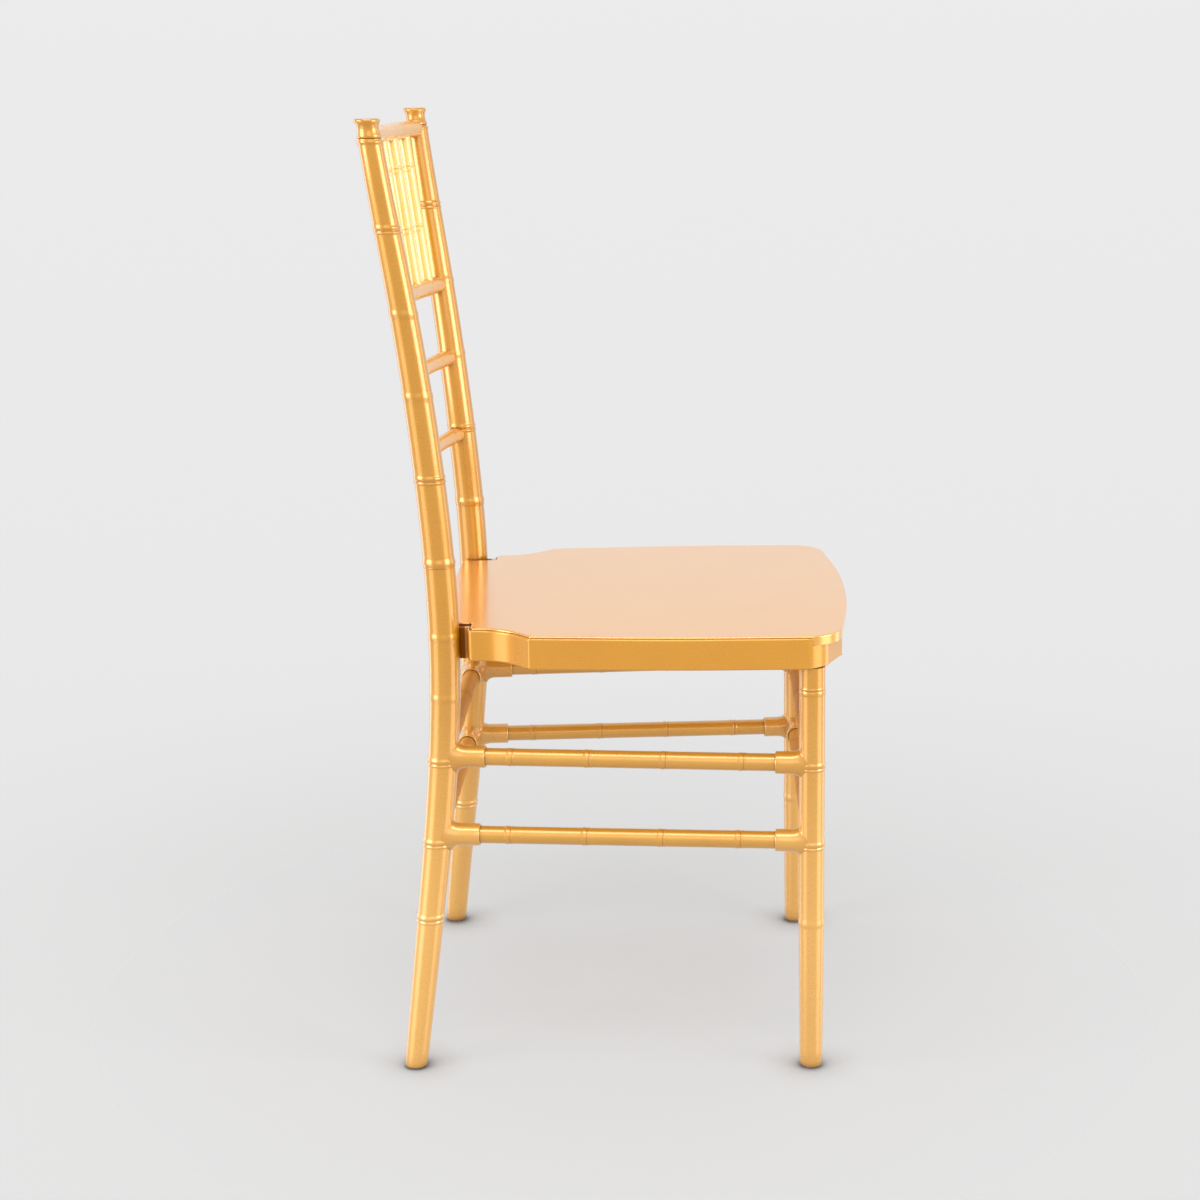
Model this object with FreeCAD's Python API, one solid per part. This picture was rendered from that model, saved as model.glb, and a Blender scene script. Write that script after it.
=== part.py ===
import FreeCAD, Part
import math
import os

# A chiavari dining chair: two bent rear posts, two straight front legs, a jointed seat frame with a
# seat board, a back of four bowed rails and seven spindles, and eight rungs let into sockets.
# Millimetres. +Z is up, the sitter faces -Y and sits with the right hand on the -X side.
# Y is written from a line midway between the seat's front edge and the finials, and each finished piece
# is moved by MIDDLE_Y, so that the origin lies on the floor at the middle of the chair's box.

# Driving sizes: overall
HEIGHT = 920.0
FRONT_REACH = 228.2
MIDDLE_Y = 9.6
GLIDE_SHOW = 1.2
FOOT_ROUND = 1.8

# Rear posts: the line through the middle of the +X post, as (height, rearward, outward)
POST_LINE = [
    (0.0, 204.5, 193.5),
    (150.0, 186.8, 173.2),
    (307.0, 170.6, 158.6),
    (430.0, 166.2, 153.4),
    (584.0, 174.9, 150.8),
    (741.0, 192.4, 158.8),
    (898.0, 214.0, 176.7),
    (920.0, 216.6, 179.1),
]
POST_FOOT_R = 11.4
POST_SEAT_R = 15.2
POST_TOP_R = 10.9
POST_THICKEST_Z = 450.0
POST_RING_HEIGHTS = [150.0, 226.0, 307.0, 370.0, 430.0, 504.0, 584.0, 663.0, 741.0, 820.0, 896.5]
POST_GROOVED_HEIGHTS = [307.0, 584.0, 820.0, 896.5]

# The finial's outline above the top ring, as (height, radius): a groove, a bead, a waist and a flared cap
FINIAL = [
    (902.4, 10.2), (904.0, 11.25), (907.0, 10.5), (911.0, 9.95), (914.5, 10.6), (917.0, 12.0), (918.8, 12.2),
    (920.0, 11.0),
]

# Front legs
FRONT_LEG_Y = -186.2
FRONT_FOOT_X = 190.3
FRONT_TOP_X = 186.0
FRONT_FOOT_R = 11.1
FRONT_LEG_R = 12.3
FRONT_RING_HEIGHTS = [150.0, 230.0, 309.0, 380.0]
FRONT_GROOVED_HEIGHTS = [230.0, 309.0]
LEG_TENON_R = 8.0
LEG_TENON_LENGTH = 18.0
SHOULDER_GAP = 0.15

# Bamboo rings
RING_RISE = 0.8
RING_HALF = 5.0
GROOVE_HALF = 0.8
GROOVE_DEPTH = 0.7

# Rungs and the sockets that they plug into
RUNG_R = 8.5
RUNG_TENON_R = 6.5
RUNG_UPPER_Z = 311.0
RUNG_LOWER_Z = 233.0
RUNG_RING_STEPS = [-112.0, -37.0, 37.0, 112.0]
POST_REACH = 42.0
LEG_REACH = 35.0
ACROSS_REACH = 38.0
SOCKET_RIM_R = 10.9
SOCKET_ROOT_R = 14.2
SOCKET_SEAT = 10.0
TENON_STOP = 9.0

# Back rails, as (name, height, radius), and their bow towards the rear
BACK_RAILS = [
    ("crest_rail", 898.3, 9.0),
    ("spindle_rail", 737.0, 8.8),
    ("back_rail_upper", 659.5, 8.2),
    ("back_rail_lower", 577.0, 7.7),
]
RAIL_BOW = 24.5
RAIL_TENON_R = 5.2
RAIL_LET_IN = 5.0
RAIL_TENON_LENGTH = 6.0
RAIL_RING_STEPS = [-114.0, -38.0, 38.0, 114.0]

# Spindles between the crest rail and the spindle rail
SPINDLE_COUNT = 7
SPINDLE_R = 6.4
SPINDLE_LET_IN = 5.0
SPINDLE_RING_PLACES = [0.38, 0.76]

# Seat frame and seat board
SEAT_BOTTOM_Z = 407.2
SEAT_LEDGE_Z = 430.0
SEAT_LIP_Z = 437.5
SEAT_TOP_Z = 439.2
RAIL_THICK = 22.0
FRONT_RAIL_Y = -216.4
FRONT_CREASE_X = 150.0
REAR_RAIL_Y = 167.0
REAR_RAIL_THICK = 18.0
REAR_RAIL_RISE = 2.0
REAR_END_Y = 143.5
INNER_END_X = 143.5
BOARD_GAP = 0.9
TOP_ROUND = 1.5
BOTTOM_ROUND = 1.8
TONGUE = (14.0, 8.0, 13.0)

# Plan of the +X side rail, as polygon corners (x, y, rounding), from its front end round the outside
SIDE_OUTER = [
    (FRONT_CREASE_X, FRONT_RAIL_Y, 0.0),
    (201.3, -194.8, 30.0),
    (203.2, -60.0, 1400.0),
    (194.6, 81.5, 3.5),
    (163.4, 111.4, 50.0),
    (162.6, REAR_END_Y, 6.0),
]
SIDE_INNER = [
    (INNER_END_X, REAR_END_Y, 0.0),
    (INNER_END_X, 102.0, 5.0),
    (170.8, 52.0, 60.0),
    (180.8, -60.0, 600.0),
    (179.3, -158.0, 20.0),
    (FRONT_CREASE_X, FRONT_RAIL_Y + RAIL_THICK, 0.0),
]

# Plan of the seat board's +X half, from the middle of the front edge round to the rear tongue
BOARD_CORNERS = [
    (60.0, -FRONT_REACH, 900.0),
    (198.6, -211.7, 36.0),
    (200.3, -60.0, 1400.0),
    (191.7, 80.2, 3.5),
    (160.2, 110.2, 51.0),
    (159.8, 140.5, 5.0),
    (136.5, 140.5, 3.0),
    (136.5, 177.0, 2.5),
]

NECK_X = 147.0
NECK_WIDE = 7.0
NECK_TENON_WIDE = 5.0
LIP_START_Y = -186.0

# How far the corner block reaches forward along the side rail, and inward along the rear rail
BLOCK_REACH_Y = 116.0
BLOCK_REACH_X = 106.0

# Fasteners and glides
SCREW_R = 2.0
SCREW_HEAD_R = 4.0
COUNTERBORE_R = 4.6
COUNTERBORE_DEPTH = 5.0
SEAT_SCREW_LENGTH = 27.0
BLOCK_SCREW_LENGTH = 24.0
GLIDE_R = 8.5
GLIDE_THICK = 3.0
NAIL_R = 1.2
NAIL_LENGTH = 16.0

UP = FreeCAD.Vector(0, 0, 1)


def vec(x, y, z):
    return FreeCAD.Vector(x, y, z)


def aimed(shape, origin, direction):
    """The shape, made along +Z at the origin, moved to a point and turned along a direction."""
    turned = shape.copy()
    turned.Placement = FreeCAD.Placement(origin, FreeCAD.Rotation(UP, direction))
    return turned


def lathe(profile):
    """A turned solid about +Z from its half outline, as (height, radius) pairs or three-point arcs."""
    edges = []
    previous = None
    points = [(profile[0][0], 0.0)] + list(profile) + [(profile[-1][0], 0.0)]
    for step in points:
        here = vec(step[-1], 0, step[-2])
        if previous is not None and (here - previous).Length > 1e-6:
            if len(step) == 4:
                edges.append(Part.Arc(previous, vec(step[1], 0, step[0]), here).toShape())
            else:
                edges.append(Part.LineSegment(previous, here).toShape())
        previous = here
    edges.append(Part.LineSegment(previous, vec(0, 0, points[0][0])).toShape())
    face = Part.Face(Part.Wire(edges))
    return face.revolve(vec(0, 0, 0), UP, 360)


def ring_outline(at, radius, grooved=False):
    """The outline of one bamboo ring: the stem swells to a crest, which some rings split with a groove."""
    crest = [(at, radius + RING_RISE)]
    if grooved:
        crest = [
            (at - GROOVE_HALF, radius + RING_RISE),
            (at, radius + RING_RISE - GROOVE_DEPTH),
            (at + GROOVE_HALF, radius + RING_RISE),
        ]
    return [(at - RING_HALF, radius)] + crest + [(at + RING_HALF, radius)]


def through_circles(stations):
    """A straight-lined loft through circles, as (centre, direction, radius)."""
    circles = [aimed(Part.Wire(Part.makeCircle(radius)), centre, along) for centre, along, radius in stations]
    return Part.makeLoft(circles, True, True)


def box_between(low, high):
    return Part.makeBox(high[0] - low[0], high[1] - low[1], high[2] - low[2], vec(*low))


def mirrored(shape):
    return shape.mirror(vec(0, 0, 0), vec(1, 0, 0))


# Rear posts

def post_curve():
    curve = Part.BSplineCurve()
    curve.interpolate([vec(x, y, z) for z, y, x in POST_LINE])
    return curve


def post_at(curve, height):
    """The point of the post's middle line at a height."""
    low, high = curve.FirstParameter, curve.LastParameter
    for _ in range(40):
        middle = (low + high) / 2
        if curve.value(middle).z < height:
            low = middle
        else:
            high = middle
    return curve.value(middle)


def post_radius(height):
    """Thickest at the seat, tapering by a cosine to the foot and to the top."""
    end_r = POST_FOOT_R if height < POST_THICKEST_Z else POST_TOP_R
    end_z = 0.0 if height < POST_THICKEST_Z else HEIGHT
    share = (height - POST_THICKEST_Z) / (end_z - POST_THICKEST_Z)
    return end_r + (POST_SEAT_R - end_r) * math.cos(share * math.pi / 2)


def socket(point, direction, reach):
    """The collar on a leg that a rung plugs into, flaring into the leg."""
    outline = [
        (0.0, SOCKET_ROOT_R - 3.0),
        (10.5, SOCKET_ROOT_R),
        (14.0, SOCKET_RIM_R + 1.0),
        (20.0, SOCKET_RIM_R),
        (reach, SOCKET_RIM_R),
    ]
    return aimed(lathe(outline), point, direction)


def rear_post(curve, sockets):
    """The bent post from foot to finial, through level circles at its rings, with its sockets."""
    outline = [(GLIDE_SHOW, POST_FOOT_R - FOOT_ROUND), (GLIDE_SHOW + FOOT_ROUND, POST_FOOT_R)]
    for height in POST_RING_HEIGHTS:
        middle = (outline[-1][0] + height) / 2
        outline.append((middle, post_radius(middle)))
        outline += ring_outline(height, post_radius(height), height in POST_GROOVED_HEIGHTS)
    stations = [(post_at(curve, height), UP, radius) for height, radius in outline + FINIAL]
    return through_circles(stations).fuse([socket(*place) for place in sockets])


# Front legs

def leg_at(height):
    """The point on the +X front leg's axis at a height; the legs splay a little towards the floor."""
    share = height / SEAT_BOTTOM_Z
    return vec(FRONT_FOOT_X + (FRONT_TOP_X - FRONT_FOOT_X) * share, FRONT_LEG_Y, height)


def front_leg(sockets):
    outline = [(GLIDE_SHOW, FRONT_FOOT_R - FOOT_ROUND), (GLIDE_SHOW + FOOT_ROUND, FRONT_FOOT_R)]
    for height in FRONT_RING_HEIGHTS:
        outline += ring_outline(height, FRONT_LEG_R, height in FRONT_GROOVED_HEIGHTS)
    outline += [
        (SEAT_BOTTOM_Z - SHOULDER_GAP, FRONT_LEG_R),
        (SEAT_BOTTOM_Z - SHOULDER_GAP, LEG_TENON_R),
        (SEAT_BOTTOM_Z + LEG_TENON_LENGTH - SHOULDER_GAP, LEG_TENON_R),
    ]
    shape = aimed(lathe(outline), leg_at(0), leg_at(SEAT_BOTTOM_Z) - leg_at(0))
    return shape.fuse([socket(*place) for place in sockets])


# Rungs

def rung(start, end, start_reach, end_reach):
    """A turned rung between two leg axes, with its full size let into the sockets and a tenon beyond."""
    length = (end - start).Length
    first = start_reach - SOCKET_SEAT
    last = length - end_reach + SOCKET_SEAT
    outline = [(TENON_STOP, RUNG_TENON_R), (first, RUNG_TENON_R), (first, RUNG_R)]
    for step in RUNG_RING_STEPS:
        outline += ring_outline(length / 2 + step, RUNG_R)
    outline += [(last, RUNG_R), (last, RUNG_TENON_R), (length - TENON_STOP, RUNG_TENON_R)]
    return aimed(lathe(outline), start, end - start)


# Back rails and spindles

class BackRail:
    """The plan arc of a back rail through both post axes at its height, bowed to the rear."""

    def __init__(self, curve, height, thick):
        post = post_at(curve, height)
        self.height = height
        self.thick = thick
        self.radius = (post.x * post.x + RAIL_BOW * RAIL_BOW) / (2 * RAIL_BOW)
        self.centre_y = post.y + RAIL_BOW - self.radius
        self.reach = self.radius * math.asin(post.x / self.radius)

    def at(self, across):
        """The point and the +X-ward direction of the arc at a length from its middle."""
        angle = across / self.radius
        point = vec(
            self.radius * math.sin(angle), self.centre_y + self.radius * math.cos(angle), self.height
        )
        return point, vec(math.cos(angle), -math.sin(angle), 0)

    def solid(self):
        """The bowed rod, let into both posts, with a tenon at each end and rings along it."""
        shoulder = self.reach - post_radius(self.height) + RAIL_LET_IN
        rings = [(-shoulder, self.thick)]
        for step in RAIL_RING_STEPS:
            rings.append(((rings[-1][0] + step) / 2, self.thick))
            rings += ring_outline(step, self.thick)
        rings += [((rings[-1][0] + shoulder) / 2, self.thick), (shoulder, self.thick)]
        shape = through_circles([self.at(across) + (radius,) for across, radius in rings])
        tenons = []
        for end in (-1, 1):
            point, along = self.at(end * (shoulder - 1.0))
            tenons.append(aimed(Part.makeCylinder(RAIL_TENON_R, RAIL_TENON_LENGTH + 1.0), point, along * end))
        return shape.fuse(tenons)


def spindle(upper, lower, number):
    """One upright of the back, from the crest rail down to the spindle rail."""
    share = 2.0 * number / (SPINDLE_COUNT + 1) - 1.0
    top, _ = upper.at(share * upper.reach)
    bottom, _ = lower.at(share * lower.reach)
    length = (top - bottom).Length
    outline = [(lower.thick - SPINDLE_LET_IN, SPINDLE_R)]
    for place in SPINDLE_RING_PLACES:
        outline += ring_outline(length * place, SPINDLE_R)
    outline.append((length - upper.thick + SPINDLE_LET_IN, SPINDLE_R))
    return aimed(lathe(outline), bottom, top - bottom)


# Seat frame

def rounded(corners, low, high):
    """A prism over a polygon whose corners, as (x, y, radius), are rounded by tangent arcs."""
    edges = []
    previous = None
    first = None
    count = len(corners)
    for index, (x, y, radius) in enumerate(corners):
        here = vec(x, y, low)
        back = vec(*corners[index - 1][:2], low) - here
        ahead = vec(*corners[(index + 1) % count][:2], low) - here
        back.normalize()
        ahead.normalize()
        half_angle = back.getAngle(ahead) / 2
        enter = here + back * (radius / math.tan(half_angle))
        leave = here + ahead * (radius / math.tan(half_angle))
        if previous is not None:
            edges.append(Part.LineSegment(previous, enter).toShape())
        if radius > 0:
            middle = back + ahead
            middle.normalize()
            crown = here + middle * (radius / math.sin(half_angle) - radius)
            edges.append(Part.Arc(enter, crown, leave).toShape())
        first = first or enter
        previous = leave
    edges.append(Part.LineSegment(previous, first).toShape())
    return Part.Face(Part.Wire(edges)).extrude(vec(0, 0, high - low))


def board_prism(grow, low, high):
    """The seat board's outline as a prism, grown all round to leave a gap where it is let in."""
    left = [(-x, y, radius) for x, y, radius in reversed(BOARD_CORNERS)]
    shape = rounded(BOARD_CORNERS + left, low, high)
    if grow == 0:
        return shape
    bottom = [face for face in shape.Faces if face.BoundBox.ZMax < low + 0.01][0]
    face = Part.Face(bottom.OuterWire.makeOffset2D(grow))
    return face.extrude(vec(0, 0, high - low))


def edges_at(shape, height, keep):
    """The edges of a prism that lie in one level, where keep(edge centre) is true."""
    return [
        edge for edge in shape.Edges
        if abs(edge.BoundBox.ZMin - height) < 0.01 and abs(edge.BoundBox.ZMax - height) < 0.01
        and keep(edge.CenterOfMass)
    ]


def outside(centre):
    """True for a point on the outer side of the +X side rail."""
    return centre.x > 158.0 and (centre.x > 184.0 or centre.y > 84.0 or centre.y < -199.0)


def side_rail():
    shape = rounded(SIDE_OUTER + SIDE_INNER, SEAT_BOTTOM_Z, SEAT_LIP_Z)
    shape = shape.makeFillet(TOP_ROUND, edges_at(shape, SEAT_LIP_Z, outside))
    shape = shape.makeFillet(BOTTOM_ROUND, edges_at(shape, SEAT_BOTTOM_Z, outside))
    neck = box_between(
        (NECK_X - NECK_WIDE / 2, REAR_END_Y - 1.0, SEAT_BOTTOM_Z), (NECK_X + NECK_WIDE / 2, 158.0, SEAT_LIP_Z)
    )
    tenon = box_between(
        (NECK_X - NECK_TENON_WIDE / 2, 157.5, SEAT_BOTTOM_Z + 4),
        (NECK_X + NECK_TENON_WIDE / 2, 170.0, SEAT_LEDGE_Z - 4),
    )
    corner = box_between((100.0, -FRONT_REACH, SEAT_LEDGE_Z), (210.0, LIP_START_Y, SEAT_TOP_Z))
    axis = leg_at(SEAT_BOTTOM_Z) - leg_at(0)
    mortise = aimed(Part.makeCylinder(LEG_TENON_R, LEG_TENON_LENGTH), leg_at(SEAT_BOTTOM_Z), axis)
    shape = shape.fuse([neck, tenon])
    for opening in (board_prism(BOARD_GAP, SEAT_LEDGE_Z, SEAT_TOP_Z), corner, mortise):
        shape = shape.cut(opening)
    return shape


def tongue_box(end_x, middle_y):
    """A tongue that stands out of a rail's end towards +X, below the ledge."""
    length, thick, tall = TONGUE
    middle_z = (SEAT_BOTTOM_Z + SEAT_LEDGE_Z) / 2
    return box_between(
        (end_x - 0.5, middle_y - thick / 2, middle_z - tall / 2),
        (end_x + length, middle_y + thick / 2, middle_z + tall / 2),
    )


def front_rail():
    shape = box_between(
        (-FRONT_CREASE_X, FRONT_RAIL_Y, SEAT_BOTTOM_Z),
        (FRONT_CREASE_X, FRONT_RAIL_Y + RAIL_THICK, SEAT_LEDGE_Z),
    )
    tongue = tongue_box(FRONT_CREASE_X, FRONT_RAIL_Y + RAIL_THICK / 2)
    return shape.fuse([tongue, mirrored(tongue)])


def rear_rail():
    half = 141.0
    shape = box_between(
        (-half, REAR_RAIL_Y - REAR_RAIL_THICK / 2, SEAT_BOTTOM_Z + REAR_RAIL_RISE),
        (half, REAR_RAIL_Y + REAR_RAIL_THICK / 2, SEAT_LEDGE_Z),
    )
    tenon = box_between(
        (half - 0.5, REAR_RAIL_Y - 4.0, SEAT_BOTTOM_Z + 5.0), (148.0, REAR_RAIL_Y + 4.0, SEAT_LEDGE_Z - 4.0)
    )
    return shape.fuse([tenon, mirrored(tenon)])


def seat_board():
    shape = board_prism(0.0, SEAT_LEDGE_Z, SEAT_TOP_Z)
    return shape.makeFillet(TOP_ROUND, edges_at(shape, SEAT_TOP_Z, lambda centre: True))


def corner_block():
    """A block across the rear corner of the frame, counterbored for its two screws."""
    rear = REAR_RAIL_Y - REAR_RAIL_THICK / 2
    outline = [
        (INNER_END_X, BLOCK_REACH_Y, 0.0),
        (INNER_END_X, REAR_END_Y, 0.0),
        (135.0, rear, 0.0),
        (BLOCK_REACH_X, rear, 0.0),
    ]
    shape = rounded(outline, SEAT_BOTTOM_Z + 4.0, SEAT_LEDGE_Z - 2.0)
    for face, direction in block_screw_places():
        pocket = Part.makeCylinder(COUNTERBORE_R, 3 * COUNTERBORE_DEPTH)
        shape = shape.cut(aimed(pocket, face - direction * (2 * COUNTERBORE_DEPTH), direction))
    return shape


# Fasteners and glides

def screw(head, direction, length):
    """A countersunk wood screw, head outwards at a point, running along a direction."""
    outline = [(0.0, SCREW_HEAD_R), (2.2, SCREW_R), (length - 4.0, SCREW_R), (length, 0.3)]
    return aimed(lathe(outline), head, direction)


def seat_screws():
    """Six screws up through the frame into the board."""
    places = [(0.0, FRONT_RAIL_Y + RAIL_THICK / 2), (0.0, REAR_RAIL_Y)]
    for side in (-1, 1):
        places += [(side * 190.0, -100.0), (side * 184.0, 50.0)]
    return [
        screw(vec(x, y, SEAT_BOTTOM_Z + (REAR_RAIL_RISE if y == REAR_RAIL_Y else 0.0)), UP, SEAT_SCREW_LENGTH)
        for x, y in places
    ]


def block_screw_places():
    """Where the +X corner block's two screws enter its slanted face, and which way each runs."""
    rear = REAR_RAIL_Y - REAR_RAIL_THICK / 2
    middle_z = (SEAT_BOTTOM_Z + SEAT_LEDGE_Z) / 2
    places = []
    for direction, share in ((vec(1, 0, 0), 0.32), (vec(0, 1, 0), 0.68)):
        x = INNER_END_X + (BLOCK_REACH_X - INNER_END_X) * share
        y = BLOCK_REACH_Y + (rear - BLOCK_REACH_Y) * share
        places.append((vec(x, y, middle_z), direction))
    return places


def block_screws():
    """Two screws through each corner block, one into the side rail and one into the rear rail."""
    right = [
        screw(face + direction * COUNTERBORE_DEPTH, direction, BLOCK_SCREW_LENGTH)
        for face, direction in block_screw_places()
    ]
    return right + [mirrored(one) for one in right]


def leg_screws():
    """One screw in each front corner, from inside the frame into the leg's tenon."""
    top = leg_at(SEAT_BOTTOM_Z + LEG_TENON_LENGTH / 2)
    inside = vec(163.7, -178.2, top.z)
    one = screw(inside, top - inside, 26.0)
    return [one, mirrored(one)]


def glide(x, y):
    shape = lathe([(0.0, GLIDE_R - 1.0), (1.0, GLIDE_R), (GLIDE_THICK, GLIDE_R)])
    shape.translate(vec(x, y, 0))
    return shape


def nail(x, y):
    shape = lathe([(GLIDE_THICK - 1.5, NAIL_R * 2), (GLIDE_THICK - 0.7, NAIL_R), (NAIL_LENGTH - 3, NAIL_R),
                   (NAIL_LENGTH, 0.2)])
    shape.translate(vec(x, y, 0))
    return shape


def build():
    """Every node by name. A piece that enters another is cut out of it, so that each joint is a fit."""
    curve = post_curve()
    parts = {}

    rails = {name: BackRail(curve, height, thick) for name, height, thick in BACK_RAILS}
    for name, rail in rails.items():
        parts[name] = rail.solid()
    for number in range(1, SPINDLE_COUNT + 1):
        one = spindle(rails["crest_rail"], rails["spindle_rail"], number)
        parts["spindle_%d" % number] = one
        for name in ("crest_rail", "spindle_rail"):
            parts[name] = parts[name].cut(one)

    post_sockets = []
    leg_sockets = []
    side_rungs = {}
    for level, height in (("upper", RUNG_UPPER_Z), ("lower", RUNG_LOWER_Z)):
        rear = post_at(curve, height)
        front = leg_at(height)
        across = vec(-1, 0, 0)
        post_sockets += [(rear, front - rear, POST_REACH), (rear, across, ACROSS_REACH)]
        leg_sockets += [(front, rear - front, LEG_REACH), (front, across, ACROSS_REACH)]
        side_rungs[level] = rung(rear, front, POST_REACH, LEG_REACH)
        parts["side_rung_%s_left" % level] = side_rungs[level]
        parts["side_rung_%s_right" % level] = mirrored(side_rungs[level])
        for name, end in (("front_rung_", front), ("rear_rung_", rear)):
            parts[name + level] = rung(vec(-end.x, end.y, height), end, ACROSS_REACH, ACROSS_REACH)

    left_rail = side_rail()
    parts["seat_rail_front"] = front_rail()
    parts["seat_rail_rear"] = rear_rail()
    parts["seat_board"] = seat_board()
    block = corner_block()

    post = rear_post(curve, post_sockets)
    leg = front_leg(leg_sockets)
    foot = post_at(curve, GLIDE_SHOW)
    glides = {
        "rear": glide(foot.x, foot.y),
        "front": glide(FRONT_FOOT_X, FRONT_LEG_Y),
    }
    nails = {"rear": nail(foot.x, foot.y), "front": nail(FRONT_FOOT_X, FRONT_LEG_Y)}

    into_post = [parts[name] for name in rails]
    into_post += [parts["rear_rung_upper"], parts["rear_rung_lower"], parts["seat_rail_rear"], left_rail]
    into_post += list(side_rungs.values()) + [glides["rear"], nails["rear"]]
    for one in into_post:
        post = post.cut(one)
    into_leg = [parts["front_rung_upper"], parts["front_rung_lower"], glides["front"], nails["front"]]
    into_leg += list(side_rungs.values())
    for one in into_leg:
        leg = leg.cut(one)
    left_rail = left_rail.cut(parts["seat_rail_front"])

    screws = {"seat_screws": seat_screws(), "corner_block_screws": block_screws(), "leg_screws": leg_screws()}
    for one in screws["seat_screws"]:
        for name in ("seat_rail_front", "seat_rail_rear", "seat_board"):
            parts[name] = parts[name].cut(one)
    for one in screws["seat_screws"] + screws["corner_block_screws"] + screws["leg_screws"]:
        left_rail = left_rail.cut(one)
    for one in screws["corner_block_screws"]:
        block = block.cut(one)
        parts["seat_rail_rear"] = parts["seat_rail_rear"].cut(one)
    for one in screws["leg_screws"]:
        leg = leg.cut(one)

    parts["seat_rail_left"] = left_rail
    parts["seat_rail_right"] = mirrored(left_rail)
    parts["corner_block_left"] = block
    parts["corner_block_right"] = mirrored(block)
    parts["rear_post_left"] = post
    parts["rear_post_right"] = mirrored(post)
    parts["front_leg_left"] = leg
    parts["front_leg_right"] = mirrored(leg)
    for place, one in glides.items():
        clean = one.cut(nails[place])
        parts["glide_%s_left" % place] = clean
        parts["glide_%s_right" % place] = mirrored(clean)
    parts["glide_nails"] = Part.makeCompound(
        [one for place in nails for one in (nails[place], mirrored(nails[place]))]
    )
    for name, group in screws.items():
        parts[name] = Part.makeCompound(group)
    return parts


os.makedirs("parts", exist_ok=True)
for node, shape in build().items():
    count = len(shape.Solids)
    if count == 1:
        shape = shape.Solids[0]
    shape.translate(vec(0, -MIDDLE_Y, 0))
    print(node, count, shape.isValid(), round(shape.Volume))
    shape.exportStep("parts/%s.step" % node)
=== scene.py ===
import math

import bpy
import numpy as np
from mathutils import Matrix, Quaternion, Vector


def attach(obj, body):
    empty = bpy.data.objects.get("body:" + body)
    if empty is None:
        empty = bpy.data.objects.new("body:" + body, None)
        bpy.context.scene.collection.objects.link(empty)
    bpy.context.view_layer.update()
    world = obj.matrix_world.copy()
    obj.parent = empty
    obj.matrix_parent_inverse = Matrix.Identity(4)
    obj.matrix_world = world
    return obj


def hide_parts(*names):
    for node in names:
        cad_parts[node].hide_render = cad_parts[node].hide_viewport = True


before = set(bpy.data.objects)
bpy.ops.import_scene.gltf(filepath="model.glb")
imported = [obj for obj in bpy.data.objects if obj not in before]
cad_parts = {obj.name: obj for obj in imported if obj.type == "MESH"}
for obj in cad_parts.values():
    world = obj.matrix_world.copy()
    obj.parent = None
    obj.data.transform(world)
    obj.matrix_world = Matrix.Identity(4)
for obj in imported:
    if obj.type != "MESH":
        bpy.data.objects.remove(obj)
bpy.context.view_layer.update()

# The chair's sizes are in millimetres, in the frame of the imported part, and MM turns them into metres.
# The finishes, the stage, the lights and the camera are in metres.
MM = 0.001
RIGHT_AND_LEFT = (("right", -1), ("left", 1))

# Rear posts: the line through the middle of the left post, as (height, rearward, outward)
POST_LINE = [
    (0.0, 194.9, 193.5),
    (150.0, 177.2, 173.2),
    (307.0, 161.0, 158.6),
    (430.0, 156.6, 153.4),
    (584.0, 165.3, 150.8),
    (741.0, 182.8, 158.8),
    (898.0, 204.4, 176.7),
    (920.0, 207.0, 179.1),
]
POST_TOP = 920.0
POST_STEM_TOP = 901.5
POST_THICKEST = 450.0
POST_FOOT_R = 11.3
POST_SEAT_R = 15.2
POST_TOP_R = 10.9
POST_RINGS = [
    (150.0, "double"), (226.0, "double"), (307.0, "double"), (370.0, "swell"), (430.0, "swell"),
    (504.0, "band"), (584.0, "double"), (663.0, "swell"), (741.0, "swell"), (820.0, "double"),
    (896.5, "collar"),
]

# The finial's outline above the top ring, as (height, radius), and the step between the two
FINIAL_STEP = 0.2
FINIAL = [
    (902.4, 10.2), (903.0, 10.9), (904.2, 11.25), (905.8, 10.9), (908.0, 10.3), (911.0, 9.95),
    (914.0, 10.4), (916.0, 11.4), (917.2, 12.0), (918.4, 12.15), (919.3, 11.9), (920.0, 11.0),
]

# Front legs, which splay a little towards the floor
LEG_Y = -195.8
LEG_FOOT_X = 190.3
LEG_TOP_X = 186.0
LEG_TOP = 407.05
LEG_FOOT_R = 11.1
LEG_R = 12.3
LEG_RINGS = [(150.0, "swell"), (230.0, "double"), (309.0, "double"), (383.0, "rung")]

# Feet: the gap that a glide leaves under the wood, and the wood's rounded edge, as (rise, inset, shade)
FOOT_GAP = 1.2
FOOT_ROUND = 1.8
FOOT_EDGE = ((0.0, FOOT_ROUND, 0.3), (0.5, 0.6, 0.1))

# Bamboo rings, each one or two beads as (place from the ring's middle, half width, rise), with a groove
# between two beads that is painted darker as shade
RING_KINDS = {
    "double": ((1.9, 3.0, 0.75), (-2.7, 1.9, 0.65)),
    "band": ((-0.6, 5.2, 0.85), (-4.6, 1.2, 0.35)),
    "collar": ((2.8, 2.8, 0.8),),
    "swell": ((0.6, 5.4, 0.5),),
    "rung": ((-1.2, 3.4, 0.5), (3.1, 1.6, 0.35)),
    "soft": ((0.0, 4.4, 0.4),),
}
GROOVE_HALF = 0.5

# Rows of a stem: how far a ring's reach to each side of its middle and how many they are, the distance
# between the others, and the slack for rounding
RING_HALF = 6.0
RING_ROWS = 33
STEM_SPACING = 14.0
CLOSE = 0.01

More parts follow.
